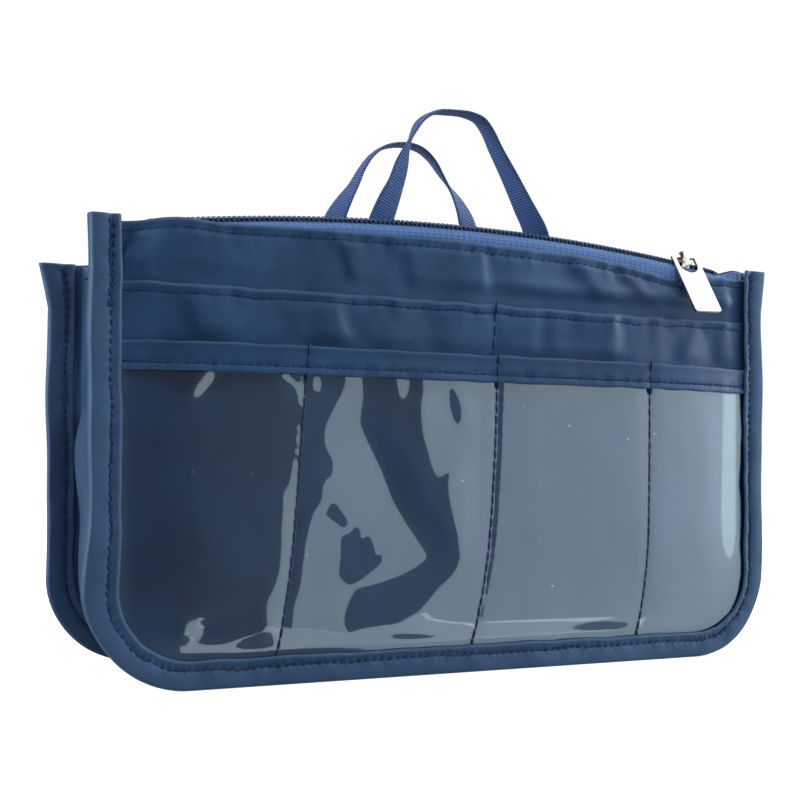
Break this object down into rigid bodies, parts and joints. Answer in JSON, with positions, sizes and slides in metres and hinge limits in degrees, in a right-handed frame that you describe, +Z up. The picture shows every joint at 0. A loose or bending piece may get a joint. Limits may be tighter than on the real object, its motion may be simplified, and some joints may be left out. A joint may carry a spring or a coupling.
{
  "type": "toiletry bag",
  "caption": "Soft toiletry bag with bound seams, a clear front pocket, a zip compartment, an open main compartment and folding webbing handles.",
  "frame": {"origin": "under the middle of the bag, on the surface that it stands on", "axes": "+X to the right seen from the front, +Y from the front to the rear, +Z up"},
  "size_m": [0.28, 0.1036, 0.2129],
  "materials": {
    "nylon": "satin navy nylon",
    "binding": "satin navy binding tape",
    "film": "clear soft film",
    "tape": "woven zip tape",
    "teeth": "dark navy moulded coil",
    "metal": "satin pale gold plating",
    "webbing": "ribbed blue webbing"
  },
  "bodies": {
    "bag": {"front_panel": "nylon", "divider_panel": "nylon", "rear_panel": "nylon", "front_slip_pocket": "nylon", "clear_pocket": "film", "clear_pocket_trim": "nylon", "rear_slip_pocket": "nylon", "front_binding": "binding", "rear_binding": "binding", "gusset": "nylon", "gusset_hem_left": "nylon", "gusset_hem_right": "nylon", "zip_tape_front": "tape", "zip_tape_rear": "tape", "zip_teeth_front": "teeth", "zip_teeth_rear": "teeth", "zip_bottom_stop": "metal", "zip_top_stop_front": "metal", "zip_top_stop_rear": "metal", "front_handle_end_left": "webbing", "front_handle_end_right": "webbing", "rear_handle_end_left": "webbing", "rear_handle_end_right": "webbing"},
    "slider": {"slider_body": "metal", "slider_base": "metal"},
    "pull": {"pull_tab": "metal"},
    "front_loop": {"front_handle": "webbing"},
    "rear_loop": {"rear_handle": "webbing"}
  },
  "joints": [
    {"name": "slider_travel", "type": "hinge", "parent": "bag", "child": "slider", "pos_m": [0, -0.03175, -0.6837], "axis": [0, -1, 0], "range_deg": [-0.54, 14.32]},
    {"name": "pull_lift", "type": "hinge", "parent": "slider", "child": "pull", "pos_m": [0.10251, -0.03347, 0.16439], "axis": [-0.9928, 0, 0.12], "range_deg": [0, 235]},
    {"name": "front_handle_fold", "type": "hinge", "parent": "bag", "child": "front_loop", "pos_m": [0, -0.02551, 0.1698], "axis": [-1, 0, 0], "range_deg": [-80, 76]},
    {"name": "rear_handle_fold", "type": "hinge", "parent": "bag", "child": "rear_loop", "pos_m": [0, 0.0266, 0.1582], "axis": [-1, 0, 0], "range_deg": [-62, 80]}
  ]
}
